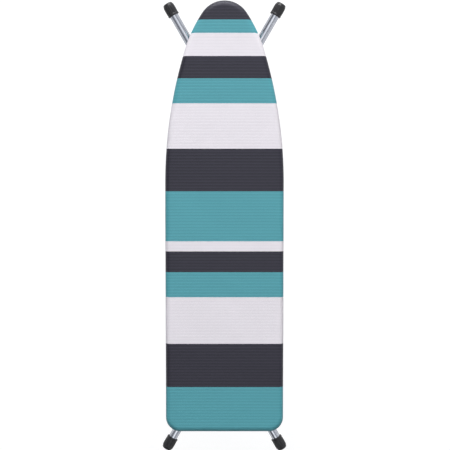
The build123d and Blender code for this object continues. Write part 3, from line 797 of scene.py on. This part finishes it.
# Across one rib, from the middle of a groove to the next: share of the pitch, share of the groove's depth.
GROOVE_SHAPE = (
    (0, 1), (0.09, 0.85), (0.16, 0.2), (0.24, 0),
    (0.5, 0), (0.76, 0), (0.84, 0.2), (0.91, 0.85),
)
# Each foot's body, side, direction along the board, and the middle of its sole.
FEET = {
    "nose_foot_left": ("nose_leg", -1, 1, 0.146, 0.57386),
    "nose_foot_right": ("nose_leg", 1, 1, 0.146, 0.57386),
    "tail_foot_left": ("tail_leg", -1, -1, 0.152, -0.57486),
    "tail_foot_right": ("tail_leg", 1, -1, 0.152, -0.57486),
}


def foot_profile():
    """Rings from the sole to the bottom of the bore: radius, distance from the end, share of rib."""
    rings = [(0.0020, 0.0, 0), (0.0024, 0.0005, 0), (0.0032, 0.0005, 0), (0.0036, 0.0, 0)]
    rings += [(0.0052, 0.0, 0), (0.0056, 0.0005, 0), (0.0064, 0.0005, 0), (0.0068, 0.0, 0)]
    for a in np.radians((0, 18, 36, 54, 72, 90)):
        rings.append((FOOT_FLAT + FOOT_ROUND * math.sin(a), FOOT_ROUND * (1 - math.cos(a)), 0))
    rings += [(0.0134, 0.0066, 0), (0.0139, 0.0078, 0.5), (0.01415, 0.0088, 1)]
    rings += [(0.01440, 0.0140, 1), (0.01445, 0.0185, 1), (0.01440, 0.0230, 1), (0.01415, 0.0282, 1)]
    rings += [(0.0139, 0.0290, 0.5), (0.0137, 0.0296, 0), (0.0142, 0.0303, 0), (0.01445, 0.0308, 0)]
    rings += [(0.01445, 0.0342, 0), (0.0142, 0.0348, 0), (0.0138, 0.0350, 0), (0.0124, 0.0350, 0)]
    return rings + [(0.0115, 0.0347, 0), (BORE, 0.0341, 0), (BORE, 0.0200, 0), (BORE, 0.0066, 0)]


def rib_stations():
    """Angles round a foot, close together at the grooves, each with its share of the groove's depth."""
    pitch = 2 * math.pi / FOOT_RIBS
    made = []
    for k in range(FOOT_RIBS):
        for part, deep in GROOVE_SHAPE:
            made.append(((k + 0.5 + part) * pitch, deep))
    return made


def rubber_foot(name, side, toward, x, y):
    """Ferrule on the end of a flared tube."""
    axis = Vector((side * math.sin(FLARE), toward * math.cos(FLARE), 0))
    up = Vector((0, 0, 1))
    across = axis.cross(up)
    end = Vector((side * x, y, LEG_Z))
    stations, rings = rib_stations(), foot_profile()
    verts = []
    for radius, back, ribbed in rings:
        for angle, deep in stations:
            reach = radius - RIB_GROOVE * deep * ribbed
            verts.append(end - axis * back + (up * math.cos(angle) + across * math.sin(angle)) * reach)
    count = len(stations)
    faces = [tuple(range(count)), tuple(reversed(range(len(verts) - count, len(verts))))]
    return add_object(name, verts, faces + tube_faces(len(rings), count))


RUBBER = rubber()
for node, (body, side, toward, x, y) in FEET.items():
    foot = rubber_foot("rubber_" + node, side, toward, x, y)
    foot.data.materials.append(RUBBER)
    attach(foot, body)
    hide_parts(node)

# Return spring: a bent leaf under the deck, whose toe rests on the trigger plate and gives way to it.
SPRING_SHEET = 0.0008
SPRING_Y = (0.06735, 0.07935)
SPRING_ROUNDS = 3
SPRING_PATH = ((0.1170, 0.0450), (0.0942, 0.0450), (0.0872, 0.0372), (0.0848, 0.0356), (0.0824, 0.0368))


def leaf_spring():
    """Leaf along the path, whose corners are cut off in rounds until they are curves."""
    path = np.array(SPRING_PATH)
    for _ in range(SPRING_ROUNDS):
        cut = [path[0]]
        for a, b in zip(path[:-1], path[1:]):
            cut += [0.75 * a + 0.25 * b, 0.25 * a + 0.75 * b]
        path = np.array(cut + [path[-1]])
    run = np.gradient(path, axis=0)
    side = np.stack([-run[:, 1], run[:, 0]], 1) / np.linalg.norm(run, axis=1, keepdims=True)
    edge = np.vstack([path + side * SPRING_SHEET / 2, (path - side * SPRING_SHEET / 2)[::-1]])
    count = len(edge)
    verts = [(x, y, z) for y in SPRING_Y for x, z in edge]
    faces = [(k, (k + 1) % count, count + (k + 1) % count, count + k) for k in range(count)]
    half = count // 2
    for k in range(half - 1):
        quad = (k, count - 1 - k, count - 2 - k, k + 1)
        faces += [quad, tuple(count + i for i in reversed(quad))]
    return add_object("leaf_spring", verts, faces, smooth=False)


ZINC = sheet_steel("zinc_sheet", linear(180, 183, 189), linear(200, 203, 208), 0.36)
spring = leaf_spring()
spring.data.materials.append(ZINC)
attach(spring, "board")
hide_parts("return_spring")
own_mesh(spring)

# Finishes of the solids, by the record's slots.
FINISH = {
    "leg_tube": plated_tube(),
    "frame_steel": GREY,
    "zinc_sheet": ZINC,
    "hardware_steel": sheet_steel("zinc_hardware", linear(150, 152, 158), linear(192, 194, 198), 0.30),
    "foot_rubber": RUBBER,
    "black_plastic": moulded("black_plastic", linear(30, 30, 33), linear(46, 46, 50), 0.42),
    "nylon": moulded("natural_nylon", linear(214, 212, 202), linear(232, 230, 222), 0.45),
}
for part in frame["record"]["subparts"]:
    finish = FINISH.get(part["material_slot"])
    if finish and part["node"] in nodes:
        for spot in nodes[part["node"]].material_slots:
            spot.material = finish

# Floor, at the level where the feet stand when the legs are open, swept up into a backdrop.
FLOOR_Z = -0.8065
FLOOR_RADIUS = 13.0
SWEEP = 2.0
BACKDROP_TOP = 2.6
COVE_SIDES = 72
FLOOR_RINGS = 4


def studio_cove():
    """Round floor whose rim curves up into a wall."""
    rings = [(FLOOR_RADIUS * k / FLOOR_RINGS, FLOOR_Z) for k in range(1, FLOOR_RINGS + 1)]
    for a in np.radians(np.linspace(10, 90, 9)):
        rings.append((FLOOR_RADIUS + SWEEP * math.sin(a), FLOOR_Z + SWEEP * (1 - math.cos(a))))
    rings.append((FLOOR_RADIUS + SWEEP, BACKDROP_TOP))
    turns = [2 * math.pi * k / COVE_SIDES for k in range(COVE_SIDES)]
    verts = [(r * math.cos(a), r * math.sin(a), z) for r, z in rings for a in turns]
    return add_object("floor", verts, [tuple(range(COVE_SIDES))] + tube_faces(len(rings), COVE_SIDES))


floor = studio_cove()
floor.data.materials.append(studio_floor())


def softbox(name, spot, target, width, depth, power, colour=PLAIN_WHITE):
    """Area lamp at a spot, turned toward a target; sizes in metres, power in watts."""
    data = bpy.data.lights.new(name, "AREA")
    data.color = colour
    data.shape = "RECTANGLE"
    data.size = width
    data.size_y = depth
    data.energy = power
    lamp = bpy.data.objects.new(name, data)
    lamp.location = spot
    lamp.visible_camera = False
    lamp.rotation_euler = (Vector(target) - Vector(spot)).to_track_quat("-Z", "Y").to_euler()
    bpy.context.collection.objects.link(lamp)


softbox("nose_key", (0.0, 8.0, 5.6), (0, 0.0, 0.05), 3.6, 1.7, 665)
softbox("nose_strip", (0.0, 7.5, 2.2), (0, 0.5, 0.05), 3.6, 0.8, 280)
softbox("overhead", (0.4, 0.2, 3.9), (0, 0.2, 0.05), 5.0, 1.8, 30)
softbox("upper_fill", (-0.95, 0.0, 4.1), (0, 0, 0.05), 4.8, 2.2, 24, (0.93, 0.96, 1.0))
softbox("left_fill", (-3.6, 0.0, 2.0), (0, 0, 0.05), 6.4, 1.1, 9, (0.84, 0.91, 1.0))
softbox("right_fill", (3.0, 0.0, 2.5), (0, 0, 0.05), 6.4, 0.3, 5)
softbox("right_strip", (3.4, 0.0, 1.05), (0, 0, 0.05), 7.0, 0.25, 7)

# Sky: its colour, its light on the part, what makes it white to the camera,
# and the room that metal mirrors, from left to right.
SKY_COLOUR = (0.92, 0.95, 1.0, 1)
SKY_LIGHT = 0.07
SKY_SEEN = 0.93
SKY_ROOM = {"From Min": -0.3, "From Max": 0.7, "To Min": 0.16, "To Max": 0.56}


def studio_world():
    """Dim sky that the camera sees as white and that metal sees as a room, brighter on the right."""
    world = bpy.data.worlds.new("studio")
    world.use_nodes = True
    tree = world.node_tree
    ray = tree.nodes.new("ShaderNodeLightPath").outputs
    split = tree.nodes.new("ShaderNodeSeparateXYZ")
    tree.links.new(tree.nodes.new("ShaderNodeTexCoord").outputs["Generated"], split.inputs[0])
    room = tree.nodes.new("ShaderNodeMapRange")
    tree.links.new(split.outputs[0], room.inputs["Value"])
    for socket, value in SKY_ROOM.items():
        room.inputs[socket].default_value = value
    lit = tree.nodes.new("ShaderNodeMath")
    seen = tree.nodes.new("ShaderNodeMath")
    lit.operation = seen.operation = "MULTIPLY_ADD"
    tree.links.new(ray["Is Glossy Ray"], lit.inputs[0])
    tree.links.new(room.outputs[0], lit.inputs[1])
    lit.inputs[2].default_value = SKY_LIGHT
    tree.links.new(ray["Is Camera Ray"], seen.inputs[0])
    seen.inputs[1].default_value = SKY_SEEN
    tree.links.new(lit.outputs[0], seen.inputs[2])
    sky = tree.nodes["Background"]
    sky.inputs["Color"].default_value = SKY_COLOUR
    tree.links.new(seen.outputs[0], sky.inputs["Strength"])
    return world


bpy.context.scene.world = studio_world()
bpy.context.scene.view_settings.view_transform = "Standard"

# Camera above the padded face, leaning toward the nose.
CAMERA_DISTANCE = 3.0
CAMERA_TILT = math.radians(-4)
VIEW_WIDTH = 1.1428
AIM = Vector((0.0013, 0.01275, COVER_TOP))
SENSOR_WIDTH = 36
eye = bpy.data.cameras.new("camera")
eye.sensor_width = SENSOR_WIDTH
eye.lens = SENSOR_WIDTH * CAMERA_DISTANCE / VIEW_WIDTH
camera = bpy.data.objects.new("camera", eye)
camera.rotation_euler = (CAMERA_TILT, 0, 0)
camera.location = AIM + CAMERA_DISTANCE * Vector((0, -math.sin(CAMERA_TILT), math.cos(CAMERA_TILT)))
bpy.context.collection.objects.link(camera)
bpy.context.scene.camera = camera
